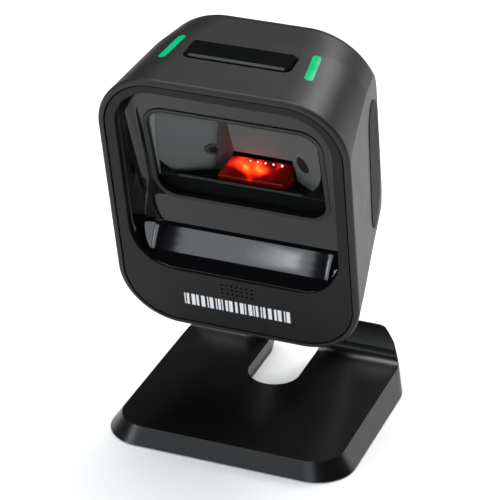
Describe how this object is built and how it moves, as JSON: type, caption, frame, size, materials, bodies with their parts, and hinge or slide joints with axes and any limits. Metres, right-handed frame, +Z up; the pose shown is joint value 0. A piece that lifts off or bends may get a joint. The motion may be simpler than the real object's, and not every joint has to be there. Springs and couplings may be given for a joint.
{
  "type": "presentation barcode imager",
  "caption": "Hands-free barcode imager: a rounded square head with a recessed window, top trigger and light bars, tilting on a weighted flat stand with a cable slot.",
  "frame": {"origin": "on the table, under the middle of the stand", "axes": "+Z up, -Y towards the item being scanned, +X to the right seen from the front"},
  "size_m": [0.0856, 0.0787, 0.1384],
  "materials": {
    "stand_plastic": "satin moulded, fine texture",
    "cover_plastic": "matt moulded",
    "ballast_steel": "zinc plated",
    "foot_rubber": "matt",
    "screw_steel": "black zinc",
    "insert_brass": "machined",
    "label_film": "satin film",
    "axle_steel": "ground",
    "cap_plastic": "satin",
    "housing_plastic": "satin moulded, fine texture",
    "bezel_plastic": "satin moulded",
    "lining_plastic": "polished black",
    "gasket_rubber": "matt",
    "window_glass": "smoked, polished",
    "chassis_plastic": "matt grey",
    "mirror_glass": "first surface",
    "camera_plastic": "matt black",
    "lens_glass": "coated",
    "red_diffuser": "translucent red",
    "board_laminate": "green solder mask",
    "socket_plastic": "moulded",
    "contact_gold": "gold flash",
    "speaker_plastic": "matt",
    "switch_plastic": "matt",
    "trigger_plastic": "polished",
    "light_pipe": "translucent green",
    "knuckle_metal": "die cast, painted dark",
    "washer_fibre": "friction fibre"
  },
  "bodies": {
    "stand": {"stand_shell": "stand_plastic", "bottom_cover": "cover_plastic", "ballast_plate": "ballast_steel", "rubber_feet": "foot_rubber", "cover_screws": "screw_steel", "mount_inserts": "insert_brass", "label_plate": "label_film", "tilt_axle": "axle_steel", "axle_caps": "cap_plastic"},
    "head": {"head_housing": "housing_plastic", "rear_cover": "housing_plastic", "rear_screws": "screw_steel", "front_bezel": "bezel_plastic", "recess_lining": "lining_plastic", "window_gasket": "gasket_rubber", "scan_window": "window_glass", "optics_chassis": "chassis_plastic", "fold_mirror": "mirror_glass", "camera_module": "camera_plastic", "camera_lens": "lens_glass", "illumination_lens": "red_diffuser", "illumination_board": "board_laminate", "aimer_module": "camera_plastic", "decoder_board": "board_laminate", "io_socket": "socket_plastic", "socket_contacts": "contact_gold", "speaker": "speaker_plastic", "speaker_gasket": "gasket_rubber", "indicator_board": "board_laminate", "trigger_switch": "switch_plastic", "light_pipe_left": "light_pipe", "light_pipe_right": "light_pipe", "hinge_knuckle": "knuckle_metal", "knuckle_screws": "screw_steel", "friction_washers": "washer_fibre"},
    "trigger": {"trigger_button": "trigger_plastic"}
  },
  "joints": [
    {"name": "head_tilt", "type": "hinge", "parent": "stand", "child": "head", "pos_m": [0, 0.01575, 0.0435], "axis": [1, 0, 0], "range_deg": [-22, 8]},
    {"name": "trigger_press", "type": "slide", "parent": "head", "child": "trigger", "axis": [0, 0.1444, -0.9895], "range_m": [0, 0.0008], "stiffness_N_per_m": 600, "springref_m": -0.0008}
  ]
}
